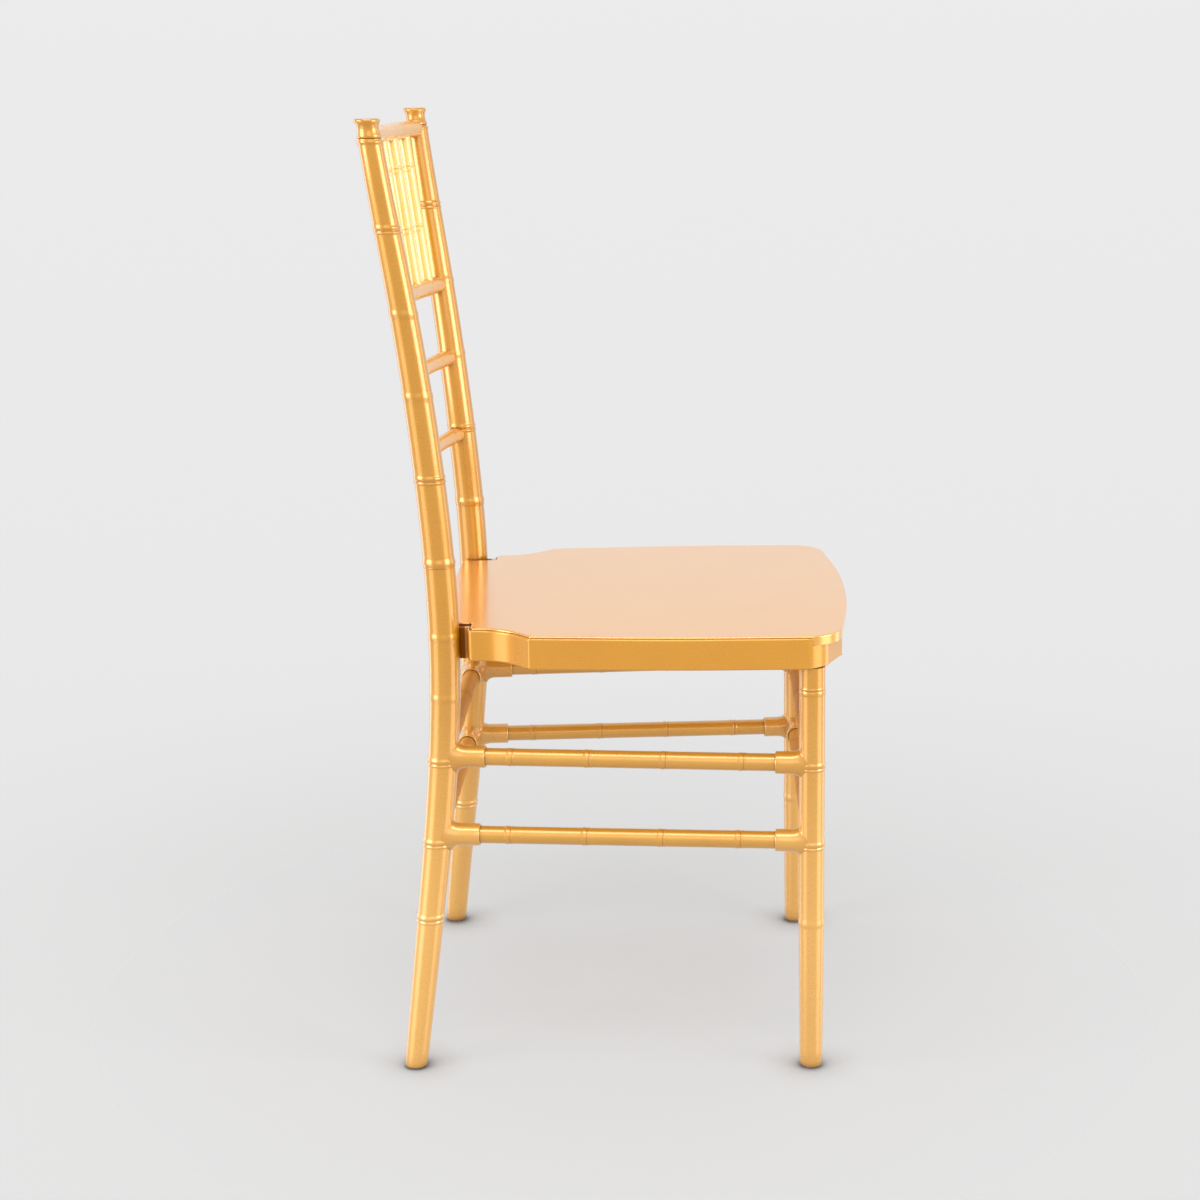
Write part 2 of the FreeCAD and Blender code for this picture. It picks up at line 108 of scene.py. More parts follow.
# Rungs, with their rings as places from the middle, and how deep they go into their sockets
RUNG_R = 8.5
RUNG_HEIGHTS = (("upper", 311.0), ("lower", 233.0))
RUNG_RINGS = (-112.0, -37.0, 37.0, 112.0)
RUNG_DEPTH = 4.0

# Sockets: how far each reaches from its stem's line, the hollow curve that it grows out in, and its rim, as
# (short of the end, radius, shade)
POST_REACH = 42.0
LEG_REACH = 35.0
ACROSS_REACH = 38.0
SOCKET_R = 10.9
SOCKET_ROOT_R = 13.4
SOCKET_ROOT_INSET = 0.25
SOCKET_ROOT_TALLER = 2.5
SOCKET_FLARE = 9.0
SOCKET_FLARE_ROWS = 12
SOCKET_SUNK = 0.15
SOCKET_SHADE = 0.35
SOCKET_RIM = (
    (6.0, SOCKET_R, 0.0),
    (1.2, SOCKET_R, 0.0),
    (0.5, SOCKET_R - 0.2, 0.0),
    (0.0, SOCKET_R - 0.8, 0.1),
    (0.0, RUNG_R + 0.5, 0.5),
    (0.6, RUNG_R + 0.1, 1.0),
)

# Back rails, as (name, height, radius), and how far they go into the posts
BACK_RAILS = (
    ("crest_rail", 898.3, 9.0),
    ("spindle_rail", 737.0, 8.8),
    ("back_rail_upper", 659.5, 8.2),
    ("back_rail_lower", 577.0, 7.7),
)
RAIL_BOW = 23.0
RAIL_RINGS = (-114.0, -38.0, 38.0, 114.0)
RAIL_DEPTH = 1.0

# Spindles, with their rings as shares of the length
SPINDLE_COUNT = 7
SPINDLE_R = 6.4
SPINDLE_RINGS = (0.38, 0.76)
SPINDLE_DEPTH = 3.0

# Sides of the round pieces, and the angle in degrees from which an edge stays sharp
POST_SIDES = 56
LEG_SIDES = 48
RAIL_SIDES = 40
SOCKET_SIDES = 40
RUNG_SIDES = 36
SPINDLE_SIDES = 28
SHARP_ANGLE = 50.0

# A stem that points along Y by more than this, of 1, has its sides counted from X and not from Y
MOSTLY_Y = 0.7

# Lacquer: the gold's specular level, and the index of refraction of the clear coat over it
SPECULAR = 0.5
COAT_IOR = 1.65
POST_COAT_IOR = 1.62
RAIL_COAT_IOR = 1.58
SEAT_COAT_IOR = 1.8

# Painted reflection of the bright floor: the posts and legs turn paler from the higher of these heights to
# the lower
PAINTED_FLOOR_LIGHT_FADE = (0.15, 0.42)
PAINTED_FLOOR_LIGHT_COLOUR = (0.73, 0.38, 0.078)

# Crevices, as painted shade: the gold darkens to brown and loses its coat as a place's openness, 0 to 1,
# falls through these ranges
CREVICE_REACH = 0.012
CREVICE_SAMPLES = 8
CREVICE_SHADE_TONES = (0.25, 0.8)
CREVICE_SHADE_COAT = (0.2, 0.6)
CREVICE_SHADE_COLOUR = (0.42, 0.26, 0.14)
# Tint of the painted shade that the rows put in ring grooves, at socket roots and under the finial
GROOVE_SHADE_COLOUR = (0.70, 0.54, 0.38)

# Painted shade on the neck behind a side rail's ear, from this Y to the rear
SLOT_START = 0.1360
SLOT_BLEND = 0.001
SLOT_SHADE_COLOUR = (0.20, 0.05, 0.003)

# Noises, the middle of their range, over which a tone changes, and what they do to gloss and relief
DRIFT = {"Scale": 14.0, "Detail": 4.0, "Roughness": 0.6}
FLAKES = {"Scale": 1400.0, "Detail": 1.0}
RIPPLE = {"Scale": 260.0, "Detail": 2.0}
MOTTLE = {"Scale": 120.0, "Detail": 4.0}
NOISE_MIDDLE = (0.3, 0.7)
FLAKES_GLOSS = 0.05
MOTTLE_GLOSS = 0.08
DRIFT_RELIEF = {"Strength": 0.08, "Distance": 0.002}
RIPPLE_RELIEF = {"Strength": 0.05, "Distance": 0.0004}
MOTTLE_RELIEF = {"Strength": 0.15, "Distance": 0.0005}

# Stage: how bright the surroundings are at a rise from -1, straight down, to 1, straight up
SKY = (
    (-1.0, 0.76), (-0.5, 0.765), (-0.24, 0.815), (0.0, 0.83), (0.06, 0.84), (0.2, 0.93), (1.0, 0.93),
)

# Floor: its reach, the distances over which it fades out, its grey, how much of the backdrop it lets through
# under the chair, and the contact shadow round each foot
FLOOR_REACH = 4.0
FLOOR_FADE = (0.3, 1.3)
FLOOR_COLOUR = 0.485
FLOOR_CLEAR = 0.52
FLOOR_ROUGHNESS = 0.9
FLOOR_SPECULAR = 0.1
CONTACT_REACH = 0.045
CONTACT_SAMPLES = 8
CONTACT_FADE = (0.62, 0.97)
CONTACT_COLOUR = 0.25

# Softboxes as (name, place, width, height, brightness), and where they point
SOFTBOXES = (
    ("box_front", (-1.0, -2.2, 1.0), 1.4, 1.3, 5.4),
    ("box_front_low", (-1.0, -2.2, -0.4), 1.4, 1.2, 1.4),
    ("box_front_far", (0.85, -2.35, 0.3), 0.7, 2.8, 1.3),
    ("box_rear", (-1.1, 2.2, 0.9), 1.4, 1.5, 5.4),
    ("box_rear_low", (-1.3, 2.1, -0.5), 1.4, 1.0, 1.3),
    ("box_rear_far", (1.3, 2.2, 0.3), 0.8, 2.8, 1.6),
    ("box_key", (-2.9, -0.3, 1.7), 2.2, 1.8, 0.9),
    ("box_top", (-1.2, 0.0, 2.7), 2.2, 0.7, 5.0),
)
LIGHT_AIM = (0.0, 0.0, 0.45)

# Camera, from the fit of the photograph to the part, with angles in degrees, and lens and sensor in mm
CAMERA_PLACE = (-2.2413, -0.0894, 0.9789)
CAMERA_HEADING = 2.60
CAMERA_PITCH = -13.82
CAMERA_ROLL = 1.09
CAMERA_LENS = 67.46
CAMERA_SENSOR = 36.0


# Meshes

def ring_profile(step, kind):
    """How far a bamboo ring stands out at a length from its middle, and the painted shade of its groove
    there.
    """
    beads = RING_KINDS[kind]
    rises = [
        rise * 0.5 * (1 + np.cos(np.pi * np.clip((step - middle) / half, -1, 1)))
        for middle, half, rise in beads
    ]
    groove = 0.0
    if len(beads) == 2:
        (first, first_half, _), (second, second_half, _) = beads
        sign = math.copysign(1.0, first - second)
        valley = (first - sign * first_half + second + sign * second_half) / 2
        groove = math.exp(-((step - valley) / GROOVE_HALF) ** 2)
    return max(rises), groove


def ringed(start, end, rings, radius_at):
    """The rows (place, radius, shade) of a turned stem with rings, close together only at the rings."""
    places = [
        place for place in np.linspace(start, end, max(2, int((end - start) / STEM_SPACING)))
        if all(abs(place - middle) > RING_HALF for middle, _ in rings)
    ]
    for middle, _ in rings:
        places += list(middle + np.linspace(-RING_HALF, RING_HALF, RING_ROWS))
    rows = []
    for place in sorted(places):
        radius, shade = radius_at(place), 0.0
        for middle, kind in rings:
            if abs(place - middle) <= RING_HALF + CLOSE:
                rise, shade = ring_profile(place - middle, kind)
                radius += rise
        rows.append((place, radius, shade))
    return rows


def foot_rows(radius):
    """The rows of a leg's rounded lower edge."""
    return [(FOOT_GAP + rise, radius - inset, shade) for rise, inset, shade in FOOT_EDGE]


class Surface:
    """Gathers the grids of one piece, and then makes them one smooth mesh.

    Each row of a grid has a painted shade, from 0 in the open to 1 deep in a crevice, that darkens the gold.
    """

    def __init__(self):
        self.points = []
        self.faces = []
        self.shades = []

    def grid(self, rows, shades):
        """Adds rows of points, each row a closed loop."""
        around = len(rows[0])
        base = len(self.points)
        for row, shade in zip(rows, shades):
            self.points += [tuple(point) for point in row]
            self.shades += [shade] * around
        for row in range(len(rows) - 1):
            for k in range(around):
                a = base + row * around + k
                b = base + row * around + (k + 1) % around
                self.faces.append((a, b, b + around, a + around))

    def cap(self, points, flip):
        """Closes a loop of points with one flat face."""
        base = len(self.points)
        self.points += [tuple(point) for point in points]
        self.shades += [0.0] * len(points)
        loop = list(range(base, base + len(points)))
        self.faces.append(tuple(reversed(loop)) if flip else tuple(loop))

    def tube(self, rows, line, sides):
        """A stem of (place, radius, shade) rows. Its line gives the centre and direction at a place."""
        loops = []
        angles = np.linspace(0, 2 * np.pi, sides, endpoint=False)
        for place, radius, _ in rows:
            centre, along = line(place)
            across = np.cross(along, (0.0, 1.0, 0.0) if abs(along[1]) < MOSTLY_Y else (1.0, 0.0, 0.0))
            across /= np.linalg.norm(across)
            other = np.cross(along, across)
            loop = np.outer(np.cos(angles), across) + np.outer(np.sin(angles), other)
            loops.append(centre + radius * loop)
        self.grid(loops, [shade for _, _, shade in rows])
        self.cap(loops[0], True)
        self.cap(loops[-1], False)

    def finish(self, name, node, material, side=1):
        """The object in metres, mirrored for the right side, in place of its CAD node."""
        points = np.array(self.points) * MM * (side, 1, 1)
        faces = self.faces if side > 0 else [tuple(reversed(face)) for face in self.faces]
        mesh = bpy.data.meshes.new(name)
        mesh.from_pydata([tuple(point) for point in points], [], faces)
        # The rows' painted shade goes into the crevice attribute, by which the lacquer darkens the gold
        mesh.attributes.new("crevice", "FLOAT", "POINT").data.foreach_set("value", self.shades)
        mesh.shade_smooth()
        mesh.set_sharp_from_angle(angle=math.radians(SHARP_ANGLE))
        mesh.materials.append(material)
        piece = bpy.data.objects.new(name, mesh)
        bpy.context.scene.collection.objects.link(piece)
        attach(piece, "root")
        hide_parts(node)


def straight(start, end):
    """A line whose place is the length from its start."""
    start, end = np.array(start, float), np.array(end, float)
    along = (end - start) / np.linalg.norm(end - start)
    return lambda place: (start + along * place, along)


def slopes_through(knots, values):
    """Slopes of the natural cubic spline through values at knots."""
    gaps = np.diff(knots)
    count = len(knots)
    matrix = np.zeros((count, count))
    right = np.zeros((count, values.shape[1]))
    matrix[0, :2] = (2, 1)
    right[0] = 3 * (values[1] - values[0]) / gaps[0]
    matrix[-1, -2:] = (1, 2)
    right[-1] = 3 * (values[-1] - values[-2]) / gaps[-1]
    for i in range(1, count - 1):
        matrix[i, i - 1:i + 2] = (gaps[i], 2 * (gaps[i] + gaps[i - 1]), gaps[i - 1])
        before = (values[i] - values[i - 1]) / gaps[i - 1]
        after = (values[i + 1] - values[i]) / gaps[i]
        right[i] = 3 * (gaps[i] * before + gaps[i - 1] * after)
    return np.linalg.solve(matrix, right)


POST_HEIGHTS = np.array([height for height, _, _ in POST_LINE])
POST_PLACES = np.array([(outward, rearward) for _, rearward, outward in POST_LINE])
POST_SLOPES = slopes_through(POST_HEIGHTS, POST_PLACES)


def post_line(height):
    """The centre and direction of the left post at a height, on the smooth curve through its points."""
    i = int(np.clip(np.searchsorted(POST_HEIGHTS, height) - 1, 0, len(POST_HEIGHTS) - 2))
    gap = POST_HEIGHTS[i + 1] - POST_HEIGHTS[i]
    t = (height - POST_HEIGHTS[i]) / gap
    a, b = POST_PLACES[i], POST_PLACES[i + 1]
    slope_a, slope_b = POST_SLOPES[i] * gap, POST_SLOPES[i + 1] * gap
    x, y = ((2 * t**3 - 3 * t**2 + 1) * a + (t**3 - 2 * t**2 + t) * slope_a
            + (3 * t**2 - 2 * t**3) * b + (t**3 - t**2) * slope_b)
    dx, dy = ((6 * t**2 - 6 * t) * (a - b)
              + (3 * t**2 - 4 * t + 1) * slope_a + (3 * t**2 - 2 * t) * slope_b) / gap
    along = np.array((dx, dy, 1.0))
    return np.array((x, y, height)), along / np.linalg.norm(along)


def post_radius(height):
    """Thickest at the seat, tapering by a cosine to the foot and to the top."""
    end_r, end = (POST_FOOT_R, 0.0) if height < POST_THICKEST else (POST_TOP_R, POST_TOP)
    share = (height - POST_THICKEST) / (end - POST_THICKEST)
    return end_r + (POST_SEAT_R - end_r) * math.cos(share * math.pi / 2)


def leg_line(height):
    """The centre and direction of the left front leg at a height."""
    along = np.array((LEG_TOP_X - LEG_FOOT_X, 0.0, LEG_TOP))
    centre = np.array((LEG_FOOT_X, LEG_Y, 0.0)) + along * (height / LEG_TOP)
    return centre, along / np.linalg.norm(along)


def leg_radius(height):
    """Even above the lowest ring, and a little thinner at the foot."""
    return LEG_FOOT_R + (LEG_R - LEG_FOOT_R) * min(1.0, height / LEG_RINGS[0][0])


def add_socket(surface, centre, stem, direction, stem_r, full_reach):
    """A collar for a rung: it grows out of the round stem in a hollow curve and ends in a square rim."""
    out = np.array(direction, float) / np.linalg.norm(direction)
    side = np.cross(stem, out)
    side /= np.linalg.norm(side)
    up = np.cross(out, side)
    angles = np.linspace(0, 2 * np.pi, SOCKET_SIDES, endpoint=False)
    root_r = min(SOCKET_ROOT_R, stem_r - SOCKET_ROOT_INSET)
    root_tall = root_r + SOCKET_ROOT_TALLER
    loops, shades = [], []
    for share in np.linspace(0, 1, SOCKET_FLARE_ROWS):
        turn = share * math.pi / 2
        across = (root_r + (SOCKET_R - root_r) * math.sin(turn)) * np.cos(angles)
        along = (root_tall + (SOCKET_R - root_tall) * math.sin(turn)) * np.sin(angles)
        rise = SOCKET_FLARE * (1 - math.cos(turn))
        on_stem = np.sqrt(stem_r**2 - np.clip(across**2, 0, stem_r**2))
        reach = on_stem * (1 - share) + stem_r * share + rise - SOCKET_SUNK
        loops.append(centre + np.outer(across, side) + np.outer(along, up) + np.outer(reach, out))
        shades.append(SOCKET_SHADE * (1 - share) ** 2)
    for short, radius, shade in SOCKET_RIM:
        ring = radius * (np.outer(np.cos(angles), side) + np.outer(np.sin(angles), up))
        loops.append(centre + ring + out * (full_reach - short))
        shades.append(shade)
    surface.grid(loops, shades)


def rear_posts():
    """Both posts, with the sockets of the side rungs and of the rear rungs."""
    stem = ringed(FOOT_GAP + FOOT_ROUND, POST_STEM_TOP, POST_RINGS, post_radius)
    stem = [row for row in stem if row[0] < FINIAL[0][0] - FINIAL_STEP]
    finial = [(height, radius, 0.0) for height, radius in FINIAL]
    # The painted shade is deepest under the finial
    finial[0] = (*FINIAL[0], 1.0)

    def level(height):
        """The post's line with its rows level."""
        return post_line(height)[0], np.array((0.0, 0.0, 1.0))

    for side, sign in RIGHT_AND_LEFT:
        surface = Surface()
        surface.tube(foot_rows(POST_FOOT_R) + stem + finial, level, POST_SIDES)
        for _, height in RUNG_HEIGHTS:
            centre, along = post_line(height)
            front, _ = leg_line(height)
            for direction, reach in ((front - centre, POST_REACH), ((-1.0, 0.0, 0.0), ACROSS_REACH)):
                add_socket(surface, centre, along, direction, post_radius(height), reach)
        surface.finish(f"turned_rear_post_{side}", f"rear_post_{side}", gold, sign)


def front_legs():
    """Both front legs, with the sockets of the side rungs and of the front rungs."""
    stem = ringed(FOOT_GAP + FOOT_ROUND, LEG_TOP, LEG_RINGS, leg_radius)
    for side, sign in RIGHT_AND_LEFT:
        surface = Surface()
        surface.tube(foot_rows(LEG_FOOT_R) + stem, leg_line, LEG_SIDES)
        for _, height in RUNG_HEIGHTS:
            centre, along = leg_line(height)
            rear, _ = post_line(height)
            for direction, reach in ((rear - centre, LEG_REACH), ((-1.0, 0.0, 0.0), ACROSS_REACH)):
                add_socket(surface, centre, along, direction, LEG_R, reach)
        surface.finish(f"turned_front_leg_{side}", f"front_leg_{side}", gold, sign)


def turned_rung(name, start, end, start_reach, end_reach, material, sign=1):
    """A rung between two stems' lines, which shows from socket to socket."""
    length = np.linalg.norm(end - start)
    rings = [(length / 2 + step, "rung") for step in RUNG_RINGS]
    rows = ringed(start_reach - RUNG_DEPTH, length - end_reach + RUNG_DEPTH, rings, lambda place: RUNG_R)
    surface = Surface()
    surface.tube(rows, straight(start, end), RUNG_SIDES)
    surface.finish(f"turned_{name}", name, material, sign)


def rungs():
    """On each level two side rungs, a front rung and a rear rung."""
    for level, height in RUNG_HEIGHTS:
        rear, front = post_line(height)[0], leg_line(height)[0]
        for side, sign in RIGHT_AND_LEFT:
            name = f"side_rung_{level}_{side}"
            turned_rung(name, rear, front, POST_REACH, LEG_REACH, rung_gold, sign)
        for name, end in ((f"front_rung_{level}", front), (f"rear_rung_{level}", rear)):
            turned_rung(name, end * (-1, 1, 1), end, ACROSS_REACH, ACROSS_REACH, shaded_cross_gold)


class BackRail:
    """A round rail on a level arc through both posts' lines, bowed to the rear.

    A place along it is the length from its middle.
    """

    def __init__(self, height, rail_r):
        (x, y, _), _ = post_line(height)
        self.height = height
        self.rail_r = rail_r
        self.bend_r = (x * x + RAIL_BOW**2) / (2 * RAIL_BOW)
        self.centre_y = y + RAIL_BOW - self.bend_r
        self.reach = self.bend_r * math.asin(x / self.bend_r)

    def line(self, place):
        """The centre and direction of the rail at a place."""
        turn = place / self.bend_r
        centre = (self.bend_r * math.sin(turn), self.centre_y + self.bend_r * math.cos(turn), self.height)
        return np.array(centre), np.array((math.cos(turn), -math.sin(turn), 0.0))

    def make(self, name):
        """The rail's piece, from just inside one post to just inside the other."""
        stop = self.reach - math.sqrt(post_radius(self.height) ** 2 - self.rail_r**2) + RAIL_DEPTH
        rings = [(step, "soft") for step in RAIL_RINGS]
        surface = Surface()
        surface.tube(ringed(-stop, stop, rings, lambda place: self.rail_r), self.line, RAIL_SIDES)
        surface.finish(f"turned_{name}", name, lit_back_gold)


def back():
    """The four bowed rails, and the spindles evenly spaced along the upper two."""
    rails = {name: BackRail(height, rail_r) for name, height, rail_r in BACK_RAILS}
    for name, rail in rails.items():
        rail.make(name)
    upper, lower = rails["crest_rail"], rails["spindle_rail"]
    for number in range(1, SPINDLE_COUNT + 1):
        share = 2 * number / (SPINDLE_COUNT + 1) - 1
        top, _ = upper.line(share * upper.reach)
        bottom, _ = lower.line(share * lower.reach)
        length = np.linalg.norm(top - bottom)
        rings = [(length * place, "rung") for place in SPINDLE_RINGS]
        start, end = lower.rail_r - SPINDLE_DEPTH, length - upper.rail_r + SPINDLE_DEPTH
        rows = ringed(start, end, rings, lambda place: SPINDLE_R)
        surface = Surface()
        surface.tube(rows, straight(bottom, top), SPINDLE_SIDES)
        surface.finish(f"turned_spindle_{number}", f"spindle_{number}", lit_spindle_gold)


# Materials

def put(socket, value):
    """Links an input to another node's output, or sets its value. A colour gets an alpha of 1."""
    if isinstance(value, bpy.types.NodeSocket):
        socket.id_data.links.new(value, socket)
    elif socket.type == "RGBA":
        socket.default_value = (*value, 1.0)
    else:
        socket.default_value = value


def emptied(tree):
    """Clears a node tree, and gives the function that adds a node to it.

    That function takes the kind of node, its settings, and its inputs by name, with _ for a space.
    """
    tree.nodes.clear()

    def node(kind, settings=None, **inputs):
        made = tree.nodes.new(kind)
        for key, value in (settings or {}).items():
            setattr(made, key, value)
        for key, value in inputs.items():
            put(made.inputs[key.replace("_", " ")], value)
        return made

    return node


def new_material(name):
    """A material with an empty node tree, and the function that adds a node to it."""
    material = bpy.data.materials.new(name)
    material.use_nodes = True
    return material, emptied(material.node_tree)


def grey(level):
    return (level, level, level)


def ramp(node, value, stops):
    """A colour ramp over a value, with stops as (position, colour)."""
    made = node("ShaderNodeValToRGB", Fac=value)
    stops = list(stops)
    elements = made.color_ramp.elements
    while len(elements) < len(stops):
        elements.new(0.5)
    for element, (position, colour) in zip(elements, stops):
        element.position = position
        element.color = (*colour, 1.0)
    return made.outputs[0]


def between(node, noise, low, high):
    """A colour that changes from low to high over the middle of a noise's range."""
    return ramp(node, noise, zip(NOISE_MIDDLE, (low, high)))


def rising(node, value, start, end):
    """A share that rises from 0 to 1 while a value goes from start to end."""
    return node("ShaderNodeMapRange", Value=value, From_Min=start, From_Max=end).outputs[0]


def occlusion(node, reach, samples):
    """How open a place is, from 0 to 1, as far as a reach."""
    return node("ShaderNodeAmbientOcclusion", {"samples": samples}, Distance=reach).outputs["AO"]


def mixed(node, share, first, second, blend="MIX"):
    """Two colours, mixed by a share."""
    made = node("ShaderNodeMix", {"data_type": "RGBA", "blend_type": blend}, Factor=share)
    put(made.inputs[6], first)
    put(made.inputs[7], second)
    return made.outputs[2]


def lacquer(name, light, dark, rough, coat_rough, metal=0.5, coat_ior=COAT_IOR, coated=True,
            foot=None, slot=None):
    """Gold lacquer under a clear coat, with slow drifts in tone, a fine coat ripple and painted shade in
    crevices.

    foot is a paler tone painted on towards the floor, as painted reflection of the bright floor. slot is the
    Y from which the neck behind a side rail's ear is painted dark brown, as painted shade.
    """
    material, node = new_material(name)
    where = node("ShaderNodeTexCoord").outputs["Object"]
    place = node("ShaderNodeSeparateXYZ", Vector=where).outputs
    drift, flakes, ripple = (
        node("ShaderNodeTexNoise", Vector=where, **noise).outputs[0] for noise in (DRIFT, FLAKES, RIPPLE)
    )
    groove = node("ShaderNodeAttribute", {"attribute_name": "crevice"}).outputs["Fac"]
    openness = occlusion(node, CREVICE_REACH, CREVICE_SAMPLES)

    colour = between(node, drift, dark, light)
    # Painted light: the gold turns paler towards the floor, standing in for the bright floor's reflection
    if foot:
        colour = mixed(node, rising(node, place["Z"], PAINTED_FLOOR_LIGHT_FADE[1], PAINTED_FLOOR_LIGHT_FADE[0]), colour, foot)
    # Painted shade: the gold darkens to brown where a place is closed in
    crevice = ramp(node, openness, zip(CREVICE_SHADE_TONES, (CREVICE_SHADE_COLOUR, grey(1.0))))
    colour = mixed(node, 1.0, colour, crevice, "MULTIPLY")
    # Painted shade from the rows, in ring grooves, at socket roots and under the finial
    colour = mixed(node, groove, colour, GROOVE_SHADE_COLOUR, "MULTIPLY")
    # Painted shade: the coat fades away where a place is closed in
    coat = ramp(node, openness, zip(CREVICE_SHADE_COAT, (grey(0.0), grey(1.0))))
    specular = SPECULAR
    # Painted shade: the neck behind a side rail's ear turns dark brown, without coat or specular
    if slot:
        slot_shade = rising(node, place["Y"], slot, slot + SLOT_BLEND)
        colour = mixed(node, slot_shade, colour, SLOT_SHADE_COLOUR)
        coat = mixed(node, slot_shade, coat, grey(0.0))
        specular = node("ShaderNodeMapRange", Value=slot_shade, To_Min=SPECULAR, To_Max=0.0).outputs[0]

    skin = node("ShaderNodeBump", Height=ripple, **RIPPLE_RELIEF).outputs[0]
    relief = node("ShaderNodeBump", Height=drift, Normal=skin, **DRIFT_RELIEF).outputs[0]
    shader = node(
        "ShaderNodeBsdfPrincipled",
        Base_Color=colour,
        Metallic=metal,
        Roughness=between(node, flakes, grey(rough - FLAKES_GLOSS), grey(rough + FLAKES_GLOSS)),
        Specular_IOR_Level=specular,
        Coat_Weight=coat if coated else 0.0,
        Coat_IOR=coat_ior,
        Coat_Roughness=coat_rough,
        Normal=relief,
    )
    node("ShaderNodeOutputMaterial", Surface=shader.outputs[0])
    return material


def plain(name, light, dark, rough, metal=0.0):
    """A small part's material: a fine mottle between two tones."""
    material, node = new_material(name)
    where = node("ShaderNodeTexCoord").outputs["Object"]
    mottle = node("ShaderNodeTexNoise", Vector=where, **MOTTLE).outputs[0]
    shader = node(
        "ShaderNodeBsdfPrincipled",
        Base_Color=between(node, mottle, dark, light),
        Metallic=metal,
        Roughness=between(node, mottle, grey(rough - MOTTLE_GLOSS), grey(rough + MOTTLE_GLOSS)),
        Normal=node("ShaderNodeBump", Height=mottle, **MOTTLE_RELIEF).outputs[0],
    )
    node("ShaderNodeOutputMaterial", Surface=shader.outputs[0])
    return material


# One gold paint; each lacquer below is a copy of it toned to the light on its pieces, as painted light and
# shade
gold = lacquer(
    "gold_lacquer", (0.555, 0.243, 0.006), (0.51, 0.22, 0.004),
    rough=0.31, coat_rough=0.14, metal=0.45, coat_ior=POST_COAT_IOR, foot=PAINTED_FLOOR_LIGHT_COLOUR,
)
# Painted light: the back rails' gold is toned paler, for the brighter light on the back
lit_back_gold = lacquer(
    "back_rail_lacquer_painted_light", (0.74, 0.36, 0.06), (0.69, 0.33, 0.045),
    rough=0.33, coat_rough=0.2,
)
# Painted light: the spindles' gold is toned to a pale cream, for the brighter light on the back
lit_spindle_gold = lacquer(
    "spindle_lacquer_painted_light", (0.83, 0.53, 0.15), (0.79, 0.49, 0.12),
    rough=0.33, coat_rough=0.2, metal=0.35,
)
# Painted light: the side rungs' gold is toned paler, like the posts' painted floor light at their height
rung_gold = lacquer(
    "rung_lacquer", (0.62, 0.296, 0.028), (0.565, 0.268, 0.02),
    rough=0.33, coat_rough=0.25,
)
# Painted shade: the front and rear rungs' gold is toned darker and dull, for the shade they lie in
shaded_cross_gold = lacquer(
    "cross_rung_lacquer_painted_shade", (0.62, 0.27, 0.015), (0.54, 0.225, 0.008),
    rough=0.55, coat_rough=0.4, metal=0.3, coated=False,
)
# Painted light: the seat rails' gold is toned paler than the posts', to the light on their faces
rail_gold = lacquer(
    "rail_lacquer", (0.64, 0.275, 0.005), (0.60, 0.252, 0.003),
    rough=0.31, coat_rough=0.15, coat_ior=RAIL_COAT_IOR, slot=SLOT_START,
)
# The seat's gold is paler than the posts': partly its own tone, partly painted reflection of bright
# surroundings
seat_gold = lacquer(
    "seat_lacquer", (0.83, 0.387, 0.053), (0.81, 0.36, 0.044),
    rough=0.26, coat_rough=0.16, metal=0.7, coat_ior=SEAT_COAT_IOR,
)
wood = plain("bare_wood", (0.56, 0.37, 0.20), (0.42, 0.25, 0.12), rough=0.7)
nylon = plain("nylon", (0.72, 0.70, 0.64), (0.60, 0.58, 0.52), rough=0.5)
steel = plain("steel", (0.62, 0.62, 0.63), (0.45, 0.45, 0.46), rough=0.35, metal=1.0)

# Finishes of the CAD nodes, by how a name begins or ends. The first that fits counts, and the rest are gold.
CAD_FINISHES = (
    ("seat_board", seat_gold),
    ("seat_rail_right", rail_gold),
    ("seat_rail_left", rail_gold),
    ("screws", steel),
    ("nails", steel),
    ("corner_block", wood),
    ("glide", nylon),
)


def finish_cad_nodes():
    """Each CAD node keeps its shape and gets its material."""
    for name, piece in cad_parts.items():
        fitting = [finish for word, finish in CAD_FINISHES if name.startswith(word) or name.endswith(word)]
        piece.data.materials.clear()
        piece.data.materials.append(fitting[0] if fitting else gold)


# Stage

def build_world():
    """A studio that is paler above than below."""
    world = bpy.data.worlds.new("studio")
    bpy.context.scene.world = world
    world.use_nodes = True
    node = emptied(world.node_tree)
    where = node("ShaderNodeTexCoord").outputs["Generated"]
    rise = node("ShaderNodeSeparateXYZ", Vector=where).outputs["Z"]
    upward = rising(node, rise, -1.0, 1.0)
    sky = ramp(node, upward, [(0.5 + 0.5 * height, grey(level)) for height, level in SKY])
    background = node("ShaderNodeBackground", Color=sky, Strength=1.0)
    node("ShaderNodeOutputWorld", Surface=background.outputs[0])


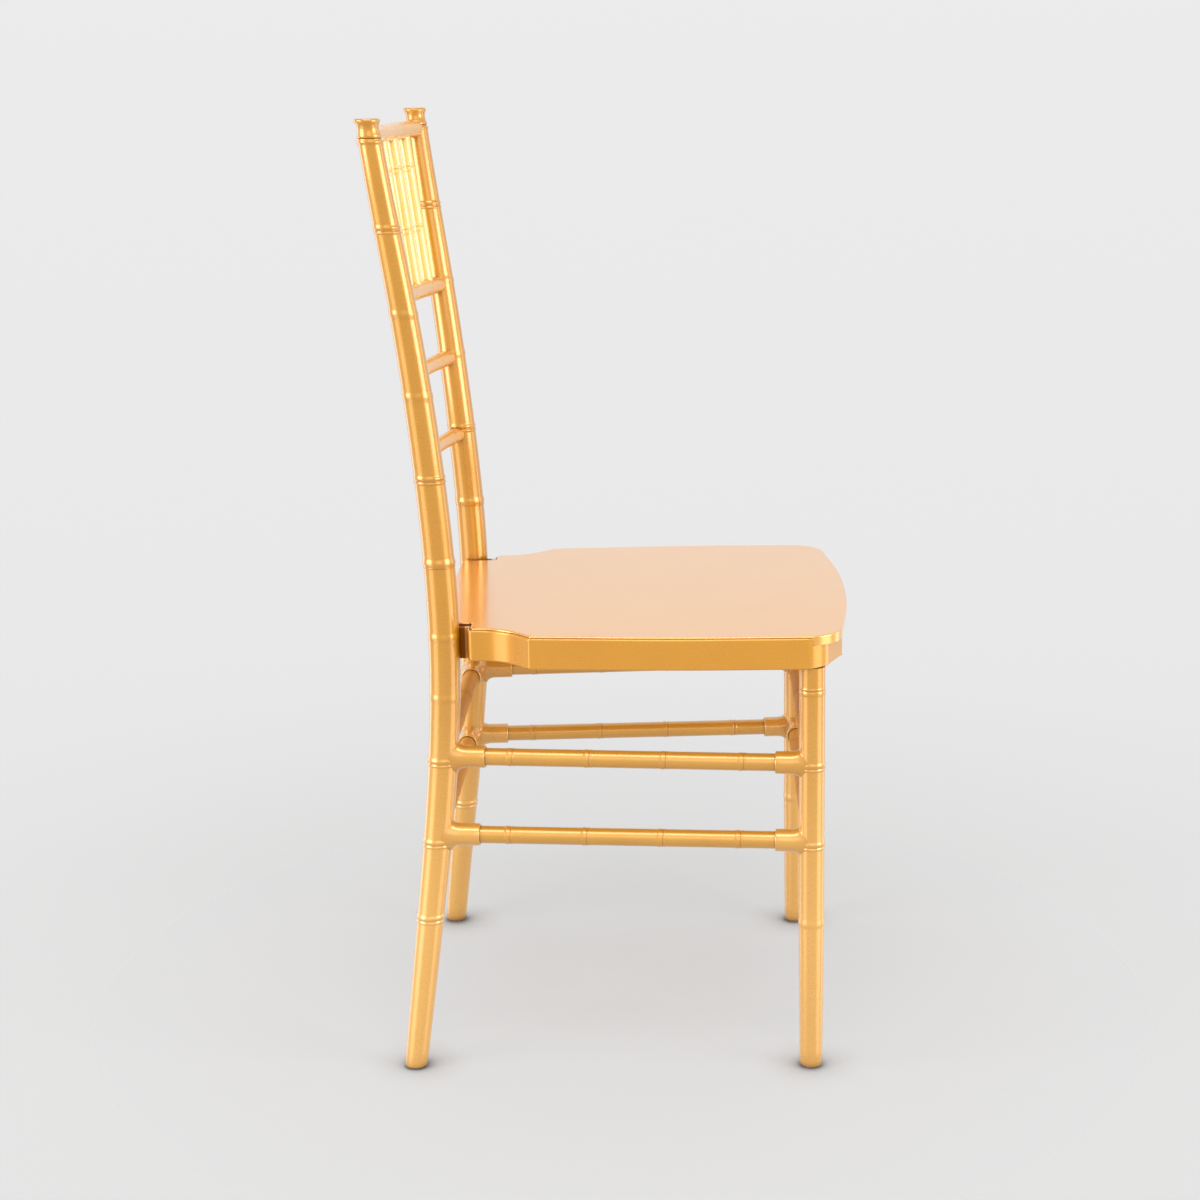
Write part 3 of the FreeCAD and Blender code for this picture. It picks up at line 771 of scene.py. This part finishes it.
def floor_material():
    """A pale matt floor that lets the backdrop through away from the chair, and darkens round the feet."""
    material, node = new_material("floor")
    openness = occlusion(node, CONTACT_REACH, CONTACT_SAMPLES)
    shader = node(
        "ShaderNodeBsdfPrincipled",
        Base_Color=ramp(node, openness, zip(CONTACT_FADE, (grey(CONTACT_COLOUR), grey(FLOOR_COLOUR)))),
        Roughness=FLOOR_ROUGHNESS,
        Specular_IOR_Level=FLOOR_SPECULAR,
    )
    where = node("ShaderNodeTexCoord").outputs["Object"]
    away = node("ShaderNodeVectorMath", {"operation": "LENGTH"}, Vector=where).outputs["Value"]
    fade = node(
        "ShaderNodeMapRange", {"interpolation_type": "SMOOTHSTEP"},
        Value=away, From_Min=FLOOR_FADE[0], From_Max=FLOOR_FADE[1], To_Min=FLOOR_CLEAR,
    )
    open_share = ramp(node, openness, zip(CONTACT_FADE, (grey(0.0), grey(1.0))))
    clearness = node("ShaderNodeMath", {"operation": "MULTIPLY"})
    put(clearness.inputs[0], fade.outputs[0])
    put(clearness.inputs[1], open_share)
    blend = node("ShaderNodeMixShader", Fac=clearness.outputs[0])
    put(blend.inputs[1], shader.outputs[0])
    put(blend.inputs[2], node("ShaderNodeBsdfTransparent").outputs[0])
    node("ShaderNodeOutputMaterial", Surface=blend.outputs[0])
    return material


def build_floor():
    mesh = bpy.data.meshes.new("floor")
    corners = [(x * FLOOR_REACH, y * FLOOR_REACH, 0.0) for x, y in ((-1, -1), (1, -1), (1, 1), (-1, 1))]
    mesh.from_pydata(corners, [], [(0, 1, 2, 3)])
    mesh.materials.append(floor_material())
    floor = bpy.data.objects.new("floor", mesh)
    bpy.context.scene.collection.objects.link(floor)


def build_lights():
    """Softboxes before and behind the chair, over the camera and overhead."""
    for name, place, wide, tall, brightness in SOFTBOXES:
        light = bpy.data.lights.new(name, "AREA")
        light.shape = "RECTANGLE"
        light.size = wide
        light.size_y = tall
        light.energy = brightness * math.pi * wide * tall
        lamp = bpy.data.objects.new(name, light)
        lamp.location = place
        lamp.rotation_mode = "QUATERNION"
        lamp.rotation_quaternion = (Vector(LIGHT_AIM) - Vector(place)).to_track_quat("-Z", "Y")
        bpy.context.scene.collection.objects.link(lamp)


def build_camera():
    data = bpy.data.cameras.new("camera")
    data.sensor_width = CAMERA_SENSOR
    data.lens = CAMERA_LENS
    camera = bpy.data.objects.new("camera", data)
    heading, pitch = math.radians(CAMERA_HEADING), math.radians(CAMERA_PITCH)
    look = Vector((
        math.cos(pitch) * math.cos(heading), math.cos(pitch) * math.sin(heading), math.sin(pitch)
    ))
    camera.location = CAMERA_PLACE
    camera.rotation_mode = "QUATERNION"
    level = look.to_track_quat("-Z", "Y")
    camera.rotation_quaternion = level @ Quaternion((0, 0, 1), math.radians(-CAMERA_ROLL))
    bpy.context.scene.collection.objects.link(camera)
    bpy.context.scene.camera = camera


finish_cad_nodes()
rear_posts()
front_legs()
rungs()
back()
build_world()
build_floor()
build_lights()
build_camera()
bpy.context.scene.view_settings.view_transform = "Standard"
